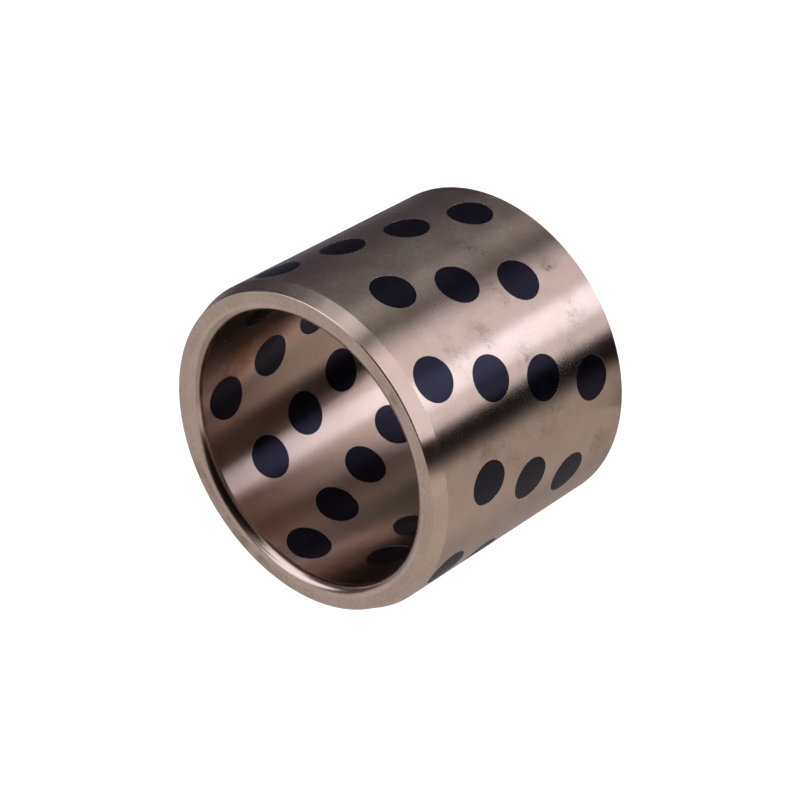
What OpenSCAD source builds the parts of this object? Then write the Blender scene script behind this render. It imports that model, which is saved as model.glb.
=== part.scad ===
// Plain cylindrical sleeve bushing of cast bronze with solid graphite lubricant plugs.
// The plugs fill holes drilled straight through the wall, and are turned flush with it inside and out.
// The sleeve stands on its plain end with its axis along +Z. Its lead end, with the long chamfer
// that starts it in a housing, is on top. All sizes are in millimetres and angles in degrees.

/* [Sleeve] */
// Diameter of the bore, which is the shaft's size
bore_d = 50; // [44:0.5:55]
// Thickness of the wall between the bore and the outside, which is pressed into the housing
wall = 5; // [4:0.25:8]
// Length from end face to end face
sleeve_len = 50; // [42:0.5:80]

/* [Ends] */
// Length along the axis of the lead end's outside chamfer
lead_len = 2.8; // [1:0.1:3]
// Angle of that chamfer from the axis
lead_angle = 20; // [10:1:30]
// Radius of the rounded corner between that chamfer and the end face
lead_round = 0.3; // [0.1:0.05:0.5]
// Outside 45 degree edge break at the plain end
edge_break = 0.8; // [0.2:0.1:1.2]
// Radius of the rounded mouth at each end of the bore
mouth_r = 2; // [0.3:0.1:2.2]

/* [Plugs] */
// Diameter of a lubricant plug and of its drilled hole
plug_d = 8; // [4:0.5:9]
// Number of rings of plugs along the sleeve
rings = 7; // [2:1:8]
// Number of plugs round each ring
per_ring = 5; // [3:1:6]
// Lead end face to the centres of the first ring
lead_margin = 7.5; // [7:0.25:12]
// Plain end face to the centres of the last ring
end_margin = 8.5; // [6:0.25:12]
// Angle by which each ring falls short of the middle of the gaps in the ring before it
lean_angle = 4.35; // [0:0.05:6]
// Direction of the first plug of the first ring
first_angle = -90; // [-180:1:180]

/* [Hidden] */
bore_r = bore_d / 2;
outer_r = bore_r + wall;
lead_depth = lead_len * tan(lead_angle);
ring_pitch = (sleeve_len - lead_margin - end_margin) / (rings - 1);
plug_step = 360 / per_ring;
ring_turn = plug_step / 2 - lean_angle;
overcut = 1;
round_inset = lead_round * tan((90 - lead_angle) / 2);
round_reach = lead_round + overcut;
drill_from = sqrt(pow(bore_r, 2) - pow(plug_d / 2, 2)) - overcut;
turned_fn = 180;
drilled_fn = 60;

function ring_z(ring) = sleeve_len - lead_margin - (ring - 1) * ring_pitch;
function plug_angle(ring, place) = first_angle + (ring - 1) * ring_turn + (place - 1) * plug_step;
function plug_name(ring, place) = str("plug_", ring, "_", place);

// The corner that a rounding tool takes off a bore mouth at the origin, with the wall at +X below it
module mouth_cut() {
    difference() {
        translate([-overcut, -mouth_r]) square([mouth_r + overcut, mouth_r + overcut]);
        translate([mouth_r, -mouth_r]) circle(r = mouth_r, $fn = drilled_fn);
    }
}

// The corner between the lead chamfer and the end face, taken off round the centre of its radius
module corner_cut() {
    difference() {
        polygon([
            [0, 0],
            [0, round_reach],
            [round_reach, round_reach],
            [round_reach * cos(lead_angle), round_reach * sin(lead_angle)]
        ]);
        circle(r = lead_round, $fn = drilled_fn);
    }
}

// Half section of the wall: lead chamfer on top, edge break below, and a rounded mouth at each end
module wall_section() {
    difference() {
        polygon([
            [bore_r, 0],
            [outer_r - edge_break, 0],
            [outer_r, edge_break],
            [outer_r, sleeve_len - lead_len],
            [outer_r - lead_depth, sleeve_len],
            [bore_r, sleeve_len]
        ]);
        translate([bore_r, sleeve_len]) mouth_cut();
        translate([bore_r, 0]) mirror([0, 1]) mouth_cut();
        translate([outer_r - lead_depth - round_inset, sleeve_len - lead_round]) corner_cut();
    }
}

// The turned tube before it is drilled
module blank() {
    rotate_extrude($fn = turned_fn) wall_section();
}

// One drill pass straight out through the wall, from just inside the bore
module drill(ring, place) {
    rotate([0, 0, plug_angle(ring, place)])
        translate([drill_from, 0, ring_z(ring)])
            rotate([0, 90, 0])
                cylinder(d = plug_d, h = outer_r + overcut - drill_from, $fn = drilled_fn);
}

module sleeve() {
    color("#8c7866") difference() {
        blank();
        for (ring = [1 : rings], place = [1 : per_ring]) drill(ring, place);
    }
}

// A plug fills its hole, and its two ends follow the bore and the outside of the sleeve
module plug(ring, place) {
    color("#23242c") intersection() {
        blank();
        drill(ring, place);
    }
}

sleeve();
for (ring = [1 : rings], place = [1 : per_ring])
    plug(ring, place);
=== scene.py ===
from math import cos, degrees, hypot, pi, radians, sin, sqrt, tan

import bmesh
import bpy
from mathutils import Matrix, Vector


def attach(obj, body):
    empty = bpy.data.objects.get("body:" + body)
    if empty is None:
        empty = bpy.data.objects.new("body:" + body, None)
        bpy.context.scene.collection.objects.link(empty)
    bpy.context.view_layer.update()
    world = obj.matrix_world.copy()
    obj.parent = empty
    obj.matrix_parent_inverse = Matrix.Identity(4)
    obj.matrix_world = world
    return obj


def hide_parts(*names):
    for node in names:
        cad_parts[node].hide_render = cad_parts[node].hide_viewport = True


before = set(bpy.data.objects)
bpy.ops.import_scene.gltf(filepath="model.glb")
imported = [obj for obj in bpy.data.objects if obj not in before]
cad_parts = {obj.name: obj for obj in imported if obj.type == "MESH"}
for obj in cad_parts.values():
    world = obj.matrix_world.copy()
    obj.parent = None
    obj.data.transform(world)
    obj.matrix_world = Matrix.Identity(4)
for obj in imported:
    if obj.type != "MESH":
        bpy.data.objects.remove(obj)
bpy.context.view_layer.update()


# Camera: the photograph's own view. The bush lies on its side in the picture, so the camera is
# rolled: its upward direction is mostly along +X of the standing bush. Lens and place were fitted
# to the outline and to the 20 plugs that the picture shows.
MM = 0.001
camera_place = Vector((3.894, -346.919, 321.933)) * MM
camera_right = Vector((-0.49249, -0.56935, -0.65826))
camera_up = Vector((0.87026, -0.31363, -0.37984))
camera_data = bpy.data.cameras.new("camera")
camera_data.sensor_width = 36
camera_data.lens = 118.4
camera_data.clip_start = 0.01
camera = bpy.data.objects.new("camera", camera_data)
turn = Matrix((camera_right, camera_up, camera_right.cross(camera_up))).transposed()
camera.matrix_world = Matrix.Translation(camera_place) @ turn.to_4x4()
bpy.context.scene.collection.objects.link(camera)
bpy.context.scene.camera = camera
bpy.context.scene.view_settings.view_transform = "Standard"


# Studio: soft panels stood round the bush, as a world that only reflections and light see.
# A panel spans a range of azimuth, from +X towards +Y, and of elevation, with soft edges, and
# the bands on the turned walls are its reflections. The camera sees plain white.
def add_node(tree, kind, settings=(), **inputs):
    """A new node of that kind, with its settings, and its inputs set or linked by name or number."""
    node = tree.nodes.new(kind)
    for name, value in dict(settings).items():
        setattr(node, name, value)
    for name, value in inputs.items():
        socket = node.inputs[int(name[1:]) if name[1:].isdigit() else name.replace("_", " ")]
        if isinstance(value, bpy.types.NodeSocket):
            tree.links.new(value, socket)
        else:
            socket.default_value = value
    return node


def calculate(tree, operation, a, b=0.0, c=0.0):
    """One step of arithmetic on sockets or numbers."""
    return add_node(tree, "ShaderNodeMath", {"operation": operation}, i0=a, i1=b, i2=c).outputs[0]


def ramp(tree, value, low, high, at_low=0.0, at_high=1.0, kind="SMOOTHSTEP"):
    """Goes from at_low to at_high as the value goes from low to high."""
    return add_node(
        tree, "ShaderNodeMapRange", {"interpolation_type": kind},
        i0=value, i1=low, i2=high, i3=at_low, i4=at_high,
    ).outputs[0]


def blend_colours(tree, amount, first, second, kind="MIX"):
    """The first colour mixed with the second by that amount."""
    return add_node(
        tree, "ShaderNodeMix", {"data_type": "RGBA", "blend_type": kind},
        i0=amount, i6=first, i7=second,
    ).outputs[2]


world = bpy.data.worlds.new("studio")
bpy.context.scene.world = world
world.use_nodes = True
sky = world.node_tree
sky.nodes.clear()
sky_direction = add_node(sky, "ShaderNodeTexCoord").outputs["Generated"]
sky_parts = add_node(sky, "ShaderNodeSeparateXYZ", i0=sky_direction).outputs
azimuth_radians = calculate(sky, "ARCTAN2", sky_parts[1], sky_parts[0])
sky_azimuth = calculate(sky, "MULTIPLY", azimuth_radians, degrees(1))
sky_elevation = calculate(sky, "MULTIPLY", calculate(sky, "ARCSINE", sky_parts[2]), degrees(1))


def panel(light, colour, strength, azimuths, softness, elevations, fade=8):
    """Adds a panel to the light so far: azimuths and elevations are (from, to) in degrees."""
    middle = sum(azimuths) / 2
    half = azimuths[1] - middle
    aside = calculate(sky, "WRAP", calculate(sky, "SUBTRACT", sky_azimuth, middle), 180, -180)
    across = calculate(
        sky, "MULTIPLY",
        ramp(sky, aside, -half - softness[0], -half + softness[0]),
        ramp(sky, aside, half - softness[1], half + softness[1], 1, 0),
    )
    up_down = calculate(
        sky, "MULTIPLY",
        ramp(sky, sky_elevation, elevations[0] - fade, elevations[0] + fade),
        ramp(sky, sky_elevation, elevations[1] - fade, elevations[1] + fade, 1, 0),
    )
    shown = tuple(strength * part for part in colour) + (1.0,)
    return blend_colours(sky, calculate(sky, "MULTIPLY", across, up_down), light, shown)


ROOM = (0.056, 0.049, 0.062, 1.0)
TALL = (-52, 120)
EVERY_HEIGHT = (-120, 120)
# Each row is a panel: colour, strength, azimuths, softness of its two sides, elevations, and the
# softness of its ends where that isn't the usual one. A later panel covers an earlier one.
PANELS = (
    # Cool wall, seen in the top left edge of the picture, and its neighbour at the lower right edge.
    ((0.91, 1.02, 1.26), 0.225, (56, 96), (8, 6), TALL),
    ((1.0, 0.97, 1.02), 0.245, (99, 150), (5, 8), TALL),
    ((1.0, 0.97, 0.96), 0.42, (99, 152), (5, 8), (-34, 25)),
    # Warm wall, seen in the outside below the dark band.
    ((1.0, 0.92, 0.86), 0.40, (152, 217), (14, 2), TALL),
    ((1.0, 0.93, 0.86), 0.54, (150, 221), (14, 6), (-20, 25)),
    # Main light: for the outside, for the bore through its far opening, and for the chamfer.
    ((1.0, 0.98, 1.06), 0.94, (-119, -58), (2, 13), (-49, -12)),
    ((1.0, 1.10, 1.35), 1.60, (-108, -86), (3, 5), (-85, -40)),
    ((1.0, 0.98, 1.06), 2.8, (-119, -58), (2, 11), (-16, -2), 4),
    # Black card beside the main light, which gives the dark band.
    ((1.0, 0.90, 0.86), 0.0, (-133, -120), (2, 2), EVERY_HEIGHT),
    ((1.0, 0.90, 0.86), 0.0, (-142, -126), (2, 2), (-120, -25)),
    # Narrow lights and gaps, seen as the bands above the main light.
    ((1.0, 0.98, 0.95), 0.12, (-50, -38), (3, 3), TALL),
    ((1.0, 1.02, 1.04), 0.22, (-36, -24), (4, 4), TALL),
    ((1.0, 1.02, 1.04), 0.86, (-50, -30), (5, 5), (-14, 10)),
    ((1.0, 1.02, 1.0), 0.08, (-22, 10), (3, 5), (-52, 0)),
    ((1.0, 1.02, 1.04), 0.44, (-30, -16), (4, 4), (-10, 12)),
    # Ceiling that the end face mirrors, and its lower edge in the rounded mouth.
    ((1.0, 0.96, 0.96), 0.455, (50, 205), (6, 12), (18, 75), 10),
    ((1.0, 0.96, 0.96), 0.41, (26, 225), (10, 14), (46, 120), 8),
    ((1.0, 0.97, 0.95), 0.30, (118, 205), (8, 10), (2, 34), 5),
    # Dark opening in the ceiling, which the rounded mouth mirrors on the left.
    ((1.0, 1.0, 1.0), 0.003, (-128, -47), (8, 4), (6, 80), 5),
    ((1.0, 1.0, 1.0), 0.003, (-128, -30), (8, 8), (62, 80), 5),
    # Small lights that the rounded mouth mirrors at the bottom.
    ((1.0, 1.05, 1.18), 0.95, (-41, -6), (4, 5), (8, 30), 6),
    ((1.0, 1.05, 1.18), 1.14, (-38, 27), (5, 5), (24, 45), 6),
    ((1.0, 1.05, 1.18), 1.14, (-18, 27), (7, 5), (43, 66), 6),
)
light = ROOM
for row in PANELS:
    light = panel(light, *row)
seen_directly = add_node(sky, "ShaderNodeLightPath").outputs["Is Camera Ray"]
shown_light = blend_colours(sky, seen_directly, light, (1.0, 1.0, 1.0, 1.0))
sky_background = add_node(sky, "ShaderNodeBackground", i0=shown_light, i1=1.0)
add_node(sky, "ShaderNodeOutputWorld", i0=sky_background.outputs[0])


# Floor: a plain white table top under the bush. The picture has pure white all round and no
# shadow, so the floor glows a little by itself, and the panels light the bush through it.
def link(name, mesh):
    """A new object of that mesh in the scene, at the origin."""
    made = bpy.data.objects.new(name, mesh)
    bpy.context.scene.collection.objects.link(made)
    return made


def new_material(name):
    """A material with a Principled surface, and its node tree."""
    material = bpy.data.materials.new(name)
    material.use_nodes = True
    return material, material.node_tree, material.node_tree.nodes["Principled BSDF"]


FLOOR_R = 1.5
FLOOR_DROP = 0.05 * MM
DISC_STEPS = 64
PAPER_GLOW = 0.95
floor_shape = bmesh.new()
bmesh.ops.create_circle(floor_shape, cap_ends=True, segments=DISC_STEPS, radius=FLOOR_R)
bmesh.ops.translate(floor_shape, vec=(0, 0, -FLOOR_DROP), verts=floor_shape.verts)
floor_mesh = bpy.data.meshes.new("floor")
floor_shape.to_mesh(floor_mesh)
floor_shape.free()
floor = link("floor", floor_mesh)
paper, _, paper_surface = new_material("white_paper")
paper_surface.inputs["Base Color"].default_value = (0.8, 0.8, 0.8, 1.0)
paper_surface.inputs["Roughness"].default_value = 0.9
paper_surface.inputs["Emission Color"].default_value = (1.0, 1.0, 1.0, 1.0)
paper_surface.inputs["Emission Strength"].default_value = PAPER_GLOW
floor_mesh.materials.append(paper)
floor.visible_glossy = False
floor.visible_diffuse = False
floor.visible_shadow = False


# Flags: a gauze and a black card under the far opening, where only light for the bore passes.
# They give the bright band in the bore its sharp edges, and keep the wall beside it dark.
FLAG_HEIGHT = -10.0
GAUZE_REACH = 38.0
GAUZE_EDGE = 6.5
CARD_CORNERS = ((-3, 8.5), (-34, -25), (-18, -36))
GAUZE_SEEN_THROUGH, CARD_SEEN_THROUGH = 0.4, 0.0


def flag(name, shape, seen_through):
    """A camera-blind dark sheet of that flat shape, in millimetres at FLAG_HEIGHT."""
    bmesh.ops.transform(
        shape, matrix=Matrix.Scale(MM, 4) @ Matrix.Translation((0, 0, FLAG_HEIGHT)), verts=shape.verts
    )
    mesh = bpy.data.meshes.new(name)
    shape.to_mesh(mesh)
    shape.free()
    cloth, _, cloth_surface = new_material(name)
    cloth_surface.inputs["Base Color"].default_value = (0.02, 0.015, 0.01, 1.0)
    cloth_surface.inputs["Roughness"].default_value = 0.9
    cloth_surface.inputs["Alpha"].default_value = 1 - seen_through
    mesh.materials.append(cloth)
    sheet = link(name, mesh)
    sheet.visible_camera = False


half_round = bmesh.new()
bmesh.ops.create_circle(half_round, cap_ends=True, segments=DISC_STEPS, radius=GAUZE_REACH)
bmesh.ops.bisect_plane(
    half_round, geom=half_round.verts[:] + half_round.edges[:] + half_round.faces[:],
    plane_co=(GAUZE_EDGE, 0, 0), plane_no=(1, 0, 0), clear_inner=True,
)
flag("gauze_flag", half_round, GAUZE_SEEN_THROUGH)
wedge = bmesh.new()
wedge.faces.new([wedge.verts.new((*corner, 0)) for corner in CARD_CORNERS])
flag("black_card", wedge, CARD_SEEN_THROUGH)


# Sleeve: one thick tube of cast bronze, bored, turned and faced. The bore mouths are rounded,
# the lead end has a long shallow chamfer, and 35 holes are drilled straight through the wall
# after turning. A drill leaves a fine broken edge where it enters and leaves.
BORE_R = 25.0
OUTER_R = 30.0
LENGTH = 50.0
MOUTH_R = 2.0
LEAD_LEN = 2.8
LEAD_ANGLE = radians(20)
LEAD_ROUND = 0.3
EDGE_BREAK = 0.8
WORN_EDGE = 0.08
HOLE_R = 4.0
FLARE = 0.012
RINGS = 7
PER_RING = 5
RING_TURN = radians(31.65)
PLUG_STEP = radians(72)
FIRST_TURN = radians(-90)
FIRST_HEIGHT = 42.5
RING_PITCH = 34 / 6
TURNED_STEPS = 360
DRILLED_STEPS = 96
OVERCUT = 2
MID_WALL = (BORE_R + OUTER_R) / 2
MERGED_WITHIN = 0.0005


def plug_places():
    """(ring, place, direction, height) of every hole, with the first ring at the lead end."""
    for ring in range(RINGS):
        for place in range(PER_RING):
            direction = FIRST_TURN + ring * RING_TURN + place * PLUG_STEP
            yield ring + 1, place + 1, direction, FIRST_HEIGHT - ring * RING_PITCH


def round_corner(shape, corner, radius, segments):
    """Rounds one corner of a flat outline to that radius."""
    first, second = (edge.other_vert(corner).co - corner.co for edge in corner.link_edges)
    reach = radius / tan(first.angle(second) / 2)
    bmesh.ops.bevel(
        shape, geom=[corner], offset=reach, offset_type="OFFSET", affect="VERTICES",
        segments=segments, profile=0.5, material=-1,
    )


def spin_outline(shape, axis, steps):
    """Turns the outline that the shape holds all the way round the axis."""
    bmesh.ops.spin(
        shape, geom=shape.verts[:] + shape.edges[:], cent=(0, 0, 0), axis=axis,
        angle=2 * pi, steps=steps, use_merge=True,
    )
    bmesh.ops.remove_doubles(shape, verts=shape.verts[:], dist=MERGED_WITHIN)
    bmesh.ops.recalc_face_normals(shape, faces=shape.faces[:])


def turned_blank():
    """The tube before drilling, in millimetres."""
    lead_depth = LEAD_LEN * tan(LEAD_ANGLE)
    corners = [
        ((BORE_R, 0), MOUTH_R, 18),
        ((OUTER_R - EDGE_BREAK, 0), WORN_EDGE, 3),
        ((OUTER_R, EDGE_BREAK), WORN_EDGE, 3),
        ((OUTER_R, LENGTH - LEAD_LEN), WORN_EDGE, 2),
        ((OUTER_R - lead_depth, LENGTH), LEAD_ROUND, 6),
        ((BORE_R, LENGTH), MOUTH_R, 18),
    ]
    shape = bmesh.new()
    verts = [shape.verts.new((across, 0, height)) for (across, height), _, _ in corners]
    shape.faces.new(verts)
    for vert, (_, radius, segments) in zip(verts, corners):
        round_corner(shape, vert, radius, segments)
    bmesh.ops.delete(shape, geom=shape.faces[:], context="FACES_ONLY")
    spin_outline(shape, (0, 0, 1), TURNED_STEPS)
    return shape


def drill_outline():
    """Half section of one drill pass along +X: flared by FLARE as it leaves each wall."""
    low, high = BORE_R - OVERCUT, OUTER_R + OVERCUT
    return [(low, 0), (low, HOLE_R + FLARE), (BORE_R, HOLE_R + FLARE),
            (BORE_R + FLARE, HOLE_R), (OUTER_R - FLARE, HOLE_R), (OUTER_R, HOLE_R + FLARE),
            (high, HOLE_R + FLARE), (high, 0)]


def wrap_ends(shape):
    """Bends the two ends of a plug or drill that lies along +X onto the round walls."""
    for vert in shape.verts:
        radius = OUTER_R if vert.co.x > MID_WALL else BORE_R
        vert.co.x += sqrt(radius * radius - vert.co.y * vert.co.y) - radius


def spun_bar(outline, steps):
    """A closed bar along +X from its half section of (along, across) points."""
    shape = bmesh.new()
    verts = [shape.verts.new((along, 0, across)) for along, across in outline]
    for first, second in zip(verts, verts[1:]):
        shape.edges.new((first, second))
    spin_outline(shape, (1, 0, 0), steps)
    return shape


def place_matrix(direction, height):
    """From a bar along +X in millimetres to its place in the wall in metres."""
    return (
        Matrix.Scale(MM, 4) @ Matrix.Translation((0, 0, height)) @ Matrix.Rotation(direction, 4, "Z")
    )


def finished(mesh, shape):
    """Writes the shape to the mesh with outward faces, smooth."""
    bmesh.ops.recalc_face_normals(shape, faces=shape.faces[:])
    for face in shape.faces:
        face.smooth = True
    shape.to_mesh(mesh)
    shape.free()


WALL, DRILLED, BORE, FACED, ROUNDED = range(5)
blank = turned_blank()
bmesh.ops.scale(blank, vec=(MM, MM, MM), verts=blank.verts)
sleeve_mesh = bpy.data.meshes.new("bronze_sleeve")
finished(sleeve_mesh, blank)
sleeve = link("bronze_sleeve", sleeve_mesh)

one_drill = spun_bar(drill_outline(), DRILLED_STEPS)
wrap_ends(one_drill)
drill_mesh = bpy.data.meshes.new("one_drill")
finished(drill_mesh, one_drill)
drills = bmesh.new()
for _, _, direction, height in plug_places():
    before = len(drills.verts)
    drills.from_mesh(drill_mesh)
    drills.verts.ensure_lookup_table()
    bmesh.ops.transform(drills, matrix=place_matrix(direction, height), verts=drills.verts[before:])
for face in drills.faces:
    face.material_index = DRILLED
drills_mesh = bpy.data.meshes.new("drills")
drills.to_mesh(drills_mesh)
drills.free()
drills_object = link("drills", drills_mesh)


# Marks of handling on a wall: direction in degrees, height and reach in millimetres. They are
# smudges with fine crooked scratches, and those in the bore are brown stains.
OUTSIDE_MARKS = (
    (-59, 17, 5), (-76, 7, 4), (-77, 21, 5), (-85, 28, 5), (-83, 36, 3), (-90, 35, 5), (-94, 7, 5),
    (-98, 22, 4), (-104, 13, 6), (-118, 37, 7), (-120, 20, 7), (-126, 29, 6), (-142, 6, 6),
)
FACE_MARKS = ((84, 50, 10), (98, 50, 12), (113, 50, 12), (-88, 50, 4))
BORE_MARKS = ((43, 41, 6), (36, 38, 7), (39, 32, 6), (157, 39, 8), (150, 44, 6))
PALE_BRONZE = (0.84, 0.67, 0.57, 1.0)
DEEP_BRONZE = (0.78, 0.60, 0.50, 1.0)
DEEP_FACE = (0.74, 0.57, 0.46, 1.0)
PALE_BORE = (0.86, 0.65, 0.54, 1.0)
DEEP_BORE = (0.78, 0.575, 0.465, 1.0)
HANDLED = (0.25, 0.20, 0.15, 1.0)
BROWN_STAIN = (0.76, 0.41, 0.20, 1.0)
FACE_DIRT = (0.20, 0.15, 0.11, 1.0)
GROOVED, UNGROOVED = 1.0, 0.0
ACROSS_GROOVES = 0.25
CAST_SCALE, GRAIN_SCALE = 170.0, 1500.0
GRAIN_HEIGHT = 0.02 * MM
SCRATCH_SCALE, SMUDGE_SCALE = 420.0, 300.0
SCRATCH_WIDTH = 0.022
NOISE_LOW, NOISE_HIGH = 0.3, 0.7
# Facing values over which the painted shade of a slanted view comes in.
PAINTED_SHADE_FROM, PAINTED_SHADE_TO = 0.40, 0.68


def near_marks(tree, place, radius, marks):
    """1 at the middle of each mark on the wall of that radius, falling to 0 at its reach."""
    near = 0.0
    for direction, height, reach in marks:
        across = radius * cos(radians(direction)) * MM, radius * sin(radians(direction)) * MM
        away = add_node(
            tree, "ShaderNodeVectorMath", {"operation": "DISTANCE"},
            i0=place, i1=(*across, height * MM),
        ).outputs["Value"]
        near = calculate(tree, "MAXIMUM", near, ramp(tree, away, 0, reach * MM, 1, 0))
    return near


def worn(tree, place, colour, radius, marks, stain, smudged, scratched):
    """The colour with a smudge and fine crooked scratches in the stain's colour at each mark."""
    near = near_marks(tree, place, radius, marks)
    lines = add_node(
        tree, "ShaderNodeTexNoise", Vector=place, Scale=SCRATCH_SCALE, Detail=4.0, Distortion=1.2
    )
    off_line = calculate(tree, "ABSOLUTE", calculate(tree, "SUBTRACT", lines.outputs[0], 0.5))
    broken = add_node(tree, "ShaderNodeTexNoise", Vector=place, Scale=SMUDGE_SCALE, Detail=2.0)
    scratch = calculate(
        tree, "MULTIPLY",
        ramp(tree, off_line, 0, SCRATCH_WIDTH, scratched, 0), ramp(tree, broken.outputs[0], 0.45, 0.55),
    )
    smudge = ramp(tree, broken.outputs[0], 0.32, 0.68, 0.0, smudged)
    amount = calculate(tree, "MULTIPLY", near, calculate(tree, "ADD", scratch, smudge))
    return blend_colours(tree, amount, colour, stain)


def groove(tree, surface, grooves):
    """Turned grooves, which run round the axis and spread light along it."""
    around = add_node(tree, "ShaderNodeTangent", {"direction_type": "RADIAL", "axis": "Z"})
    tree.links.new(around.outputs[0], surface.inputs["Tangent"])
    surface.inputs["Anisotropic"].default_value = grooves
    surface.inputs["Anisotropic Rotation"].default_value = ACROSS_GROOVES


def bronze(name, roughness, grooves, mottle, grain, tones=(DEEP_BRONZE, PALE_BRONZE), wear=None, painted_slant_shade=1.0):
    """Cast bronze with a machined finish, with its wear, and with shade painted into its colour where it is
    seen at a slant.
    """
    material, tree, surface = new_material(name)
    groove(tree, surface, grooves)
    surface.inputs["Metallic"].default_value = 1.0
    place = add_node(tree, "ShaderNodeTexCoord").outputs["Object"]
    broad = add_node(tree, "ShaderNodeTexNoise", Vector=place, Scale=CAST_SCALE, Detail=4.0, Roughness=0.6)
    fine = add_node(tree, "ShaderNodeTexNoise", Vector=place, Scale=GRAIN_SCALE, Detail=4.0, Roughness=0.7)
    cast = blend_colours(tree, ramp(tree, broad.outputs[0], NOISE_LOW, NOISE_HIGH), *tones)
    flecks = ramp(tree, fine.outputs[0], NOISE_LOW, NOISE_HIGH, 1 - grain, 1 + grain, "LINEAR")
    cast = blend_colours(tree, 1.0, cast, flecks, "MULTIPLY")
    if wear:
        cast = worn(tree, place, cast, **wear)
    # Painted shade: the colour is darkened where the surface is seen at a slant.
    if painted_slant_shade < 1:
        facing = add_node(tree, "ShaderNodeLayerWeight", Blend=0.5).outputs["Facing"]
        painted_shade = ramp(tree, facing, PAINTED_SHADE_FROM, PAINTED_SHADE_TO, 1.0, painted_slant_shade)
        cast = blend_colours(tree, 1.0, cast, painted_shade, "MULTIPLY")
    tree.links.new(cast, surface.inputs["Base Color"])
    rough = calculate(
        tree, "ADD",
        ramp(tree, broad.outputs[0], 0.25, 0.75, roughness - mottle, roughness + mottle, "LINEAR"),
        ramp(tree, fine.outputs[0], NOISE_LOW, NOISE_HIGH, -mottle, mottle, "LINEAR"),
    )
    tree.links.new(rough, surface.inputs["Roughness"])
    bump = add_node(tree, "ShaderNodeBump", Strength=grain, Distance=GRAIN_HEIGHT, Height=fine.outputs[0])
    tree.links.new(bump.outputs[0], surface.inputs["Normal"])
    return material


turned = bronze(
    "bronze_turned", roughness=0.26, grooves=GROOVED, mottle=0.015, grain=0.04,
    wear={"radius": OUTER_R, "marks": OUTSIDE_MARKS, "stain": HANDLED, "smudged": 0.28, "scratched": 0.6},
)
in_holes = bronze("bronze_drilled", roughness=0.45, grooves=UNGROOVED, mottle=0.03, grain=0.2)
# The bore's colour has painted shade: it is darkened where it is seen at a slant, in place of the shade it
# gets from mostly mirroring its own wall.
bored = bronze(
    "bronze_bored_painted_shade", roughness=0.26, grooves=GROOVED, mottle=0.01, grain=0.03, tones=(DEEP_BORE, PALE_BORE),
    wear={"radius": BORE_R, "marks": BORE_MARKS, "stain": BROWN_STAIN, "smudged": 0.95, "scratched": 0.5},
    painted_slant_shade=0.25,
)
faced = bronze(
    "bronze_faced", roughness=0.46, grooves=UNGROOVED, mottle=0.04, grain=0.14,
    tones=(DEEP_FACE, PALE_BRONZE),
    wear={"radius": MID_WALL, "marks": FACE_MARKS, "stain": FACE_DIRT, "smudged": 0.5, "scratched": 0.1},
)
rounded = bronze("bronze_rounded", roughness=0.19, grooves=UNGROOVED, mottle=0.01, grain=0.05)
for finish in (turned, in_holes, bored, faced, rounded):
    sleeve_mesh.materials.append(finish)

# All 35 drill passes are cut from the turned tube at once.
cut = sleeve.modifiers.new("drilled", "BOOLEAN")
cut.operation = "DIFFERENCE"
cut.solver = "EXACT"
cut.object = drills_object
bpy.context.view_layer.update()
drilled = bpy.data.meshes.new_from_object(sleeve.evaluated_get(bpy.context.evaluated_depsgraph_get()))
sleeve.modifiers.clear()
sleeve.data = drilled
bpy.data.objects.remove(drills_object)


UPRIGHT_UP_TO, LEVEL_FROM = 0.02, 0.999
ARC_FROM, ARC_TO = 0.97, 1.001


def turned_normals(mesh):
    """Gives every face its finish, and every corner the true normal of the turned form there."""
    lead_inset = LEAD_ROUND * tan((pi / 2 - LEAD_ANGLE) / 2)
    arcs = [
        (BORE_R + MOUTH_R, LENGTH - MOUTH_R, MOUTH_R),
        (BORE_R + MOUTH_R, MOUTH_R, MOUTH_R),
        (OUTER_R - LEAD_LEN * tan(LEAD_ANGLE) - lead_inset, LENGTH - LEAD_ROUND, LEAD_ROUND),
    ]
    mesh.polygons.foreach_set("use_smooth", [True] * len(mesh.polygons))
    normals = [None] * len(mesh.loops)
    for face in mesh.polygons:
        if face.material_index == DRILLED:
            for corner in face.loop_indices:
                normals[corner] = face.normal.copy()
            continue
        middle = face.center / MM
        across = hypot(middle.x, middle.y)
        slope = Vector(((face.normal.x * middle.x + face.normal.y * middle.y) / across, face.normal.z))
        slope.normalize()
        arc = None
        if UPRIGHT_UP_TO < abs(slope.y) < LEVEL_FROM:
            for arc_across, arc_height, radius in arcs:
                away = hypot(across - arc_across, middle.z - arc_height)
                if ARC_FROM * radius < away < ARC_TO * radius:
                    arc = arc_across, arc_height
            face.material_index = ROUNDED if arc else WALL
        elif abs(slope.y) >= LEVEL_FROM:
            face.material_index = FACED
        else:
            face.material_index = WALL if slope.x > 0 else BORE
        for corner in face.loop_indices:
            spot = mesh.vertices[mesh.loops[corner].vertex_index].co / MM
            reach = hypot(spot.x, spot.y)
            lean = Vector((reach - arc[0], spot.z - arc[1])).normalized() if arc else slope
            normals[corner] = Vector((lean.x * spot.x / reach, lean.x * spot.y / reach, lean.y))
    mesh.normals_split_custom_set(normals)


turned_normals(drilled)
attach(sleeve, "root")
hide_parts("sleeve")


# Plugs: 35 short rods of graphite compound, pressed into the holes and then turned with the
# sleeve, so each end follows the wall and lies a hair below it, with a slightly worn edge.
PLUG_R = 3.99
PLUG_EDGE = 0.03
SUNK = 0.008
RIM = 0.06
SPREAD_STEPS = 10
EDGE_STEPS = 4
LUMP_SCALE, PORE_SCALE = 400.0, 3500.0
SMOOTHEST, ROUGHEST = 0.24, 0.28
PALE_GRAPHITE = (0.004, 0.004, 0.006, 1.0)
DEEP_GRAPHITE = (0.002, 0.002, 0.003, 1.0)
BLUE_SHEEN = (0.64, 0.56, 1.0, 1.0)


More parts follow.
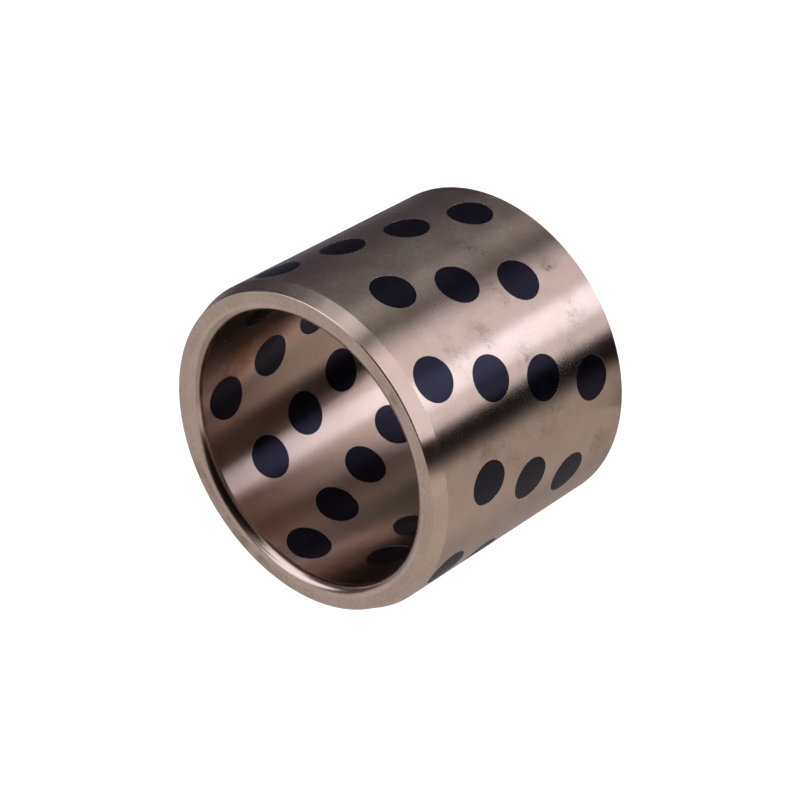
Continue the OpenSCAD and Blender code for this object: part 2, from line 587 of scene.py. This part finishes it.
def plug_outline():
    """Half section of a plug along +X."""
    high, low = OUTER_R - SUNK, BORE_R + SUNK
    flat = PLUG_R - PLUG_EDGE
    spread = [flat * step / SPREAD_STEPS for step in range(SPREAD_STEPS)] + [flat - RIM]
    arc = [(PLUG_EDGE * (1 - cos(turn)), flat + PLUG_EDGE * sin(turn))
           for turn in (pi / 2 * step / EDGE_STEPS for step in range(EDGE_STEPS + 1))]
    top = [(high, across) for across in spread] + [(high - along, across) for along, across in arc]
    foot = [(low, across) for across in spread] + [(low + along, across) for along, across in arc]
    return top + foot[::-1]


def graphite():
    """Pressed graphite and resin: blue-black, polished by the turning with the grooves of the wall."""
    material, tree, surface = new_material("graphite_compound")
    groove(tree, surface, GROOVED)
    place = add_node(tree, "ShaderNodeTexCoord").outputs["Object"]
    broad = add_node(tree, "ShaderNodeTexNoise", Vector=place, Scale=LUMP_SCALE, Detail=3.0, Roughness=0.6)
    fine = add_node(tree, "ShaderNodeTexNoise", Vector=place, Scale=PORE_SCALE, Detail=3.0, Roughness=0.6)
    shades = ramp(tree, broad.outputs[0], 0.35, 0.7)
    colour = blend_colours(tree, shades, DEEP_GRAPHITE, PALE_GRAPHITE)
    tree.links.new(colour, surface.inputs["Base Color"])
    rough = ramp(tree, broad.outputs[0], NOISE_LOW, NOISE_HIGH, SMOOTHEST, ROUGHEST, "LINEAR")
    tree.links.new(rough, surface.inputs["Roughness"])
    surface.inputs["IOR"].default_value = 1.48
    surface.inputs["Specular Tint"].default_value = BLUE_SHEEN
    bump = add_node(tree, "ShaderNodeBump", Strength=0.03, Distance=GRAIN_HEIGHT, Height=fine.outputs[0])
    tree.links.new(bump.outputs[0], surface.inputs["Normal"])
    return material


graphite_material = graphite()
one_plug = spun_bar(plug_outline(), DRILLED_STEPS)
wrap_ends(one_plug)
plug_mesh = bpy.data.meshes.new("one_plug")
finished(plug_mesh, one_plug)
for ring, place, direction, height in plug_places():
    mesh = plug_mesh.copy()
    mesh.transform(place_matrix(direction, height))
    mesh.materials.append(graphite_material)
    plug = link(f"graphite_plug_{ring}_{place}", mesh)
    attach(plug, "root")
    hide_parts(f"plug_{ring}_{place}")
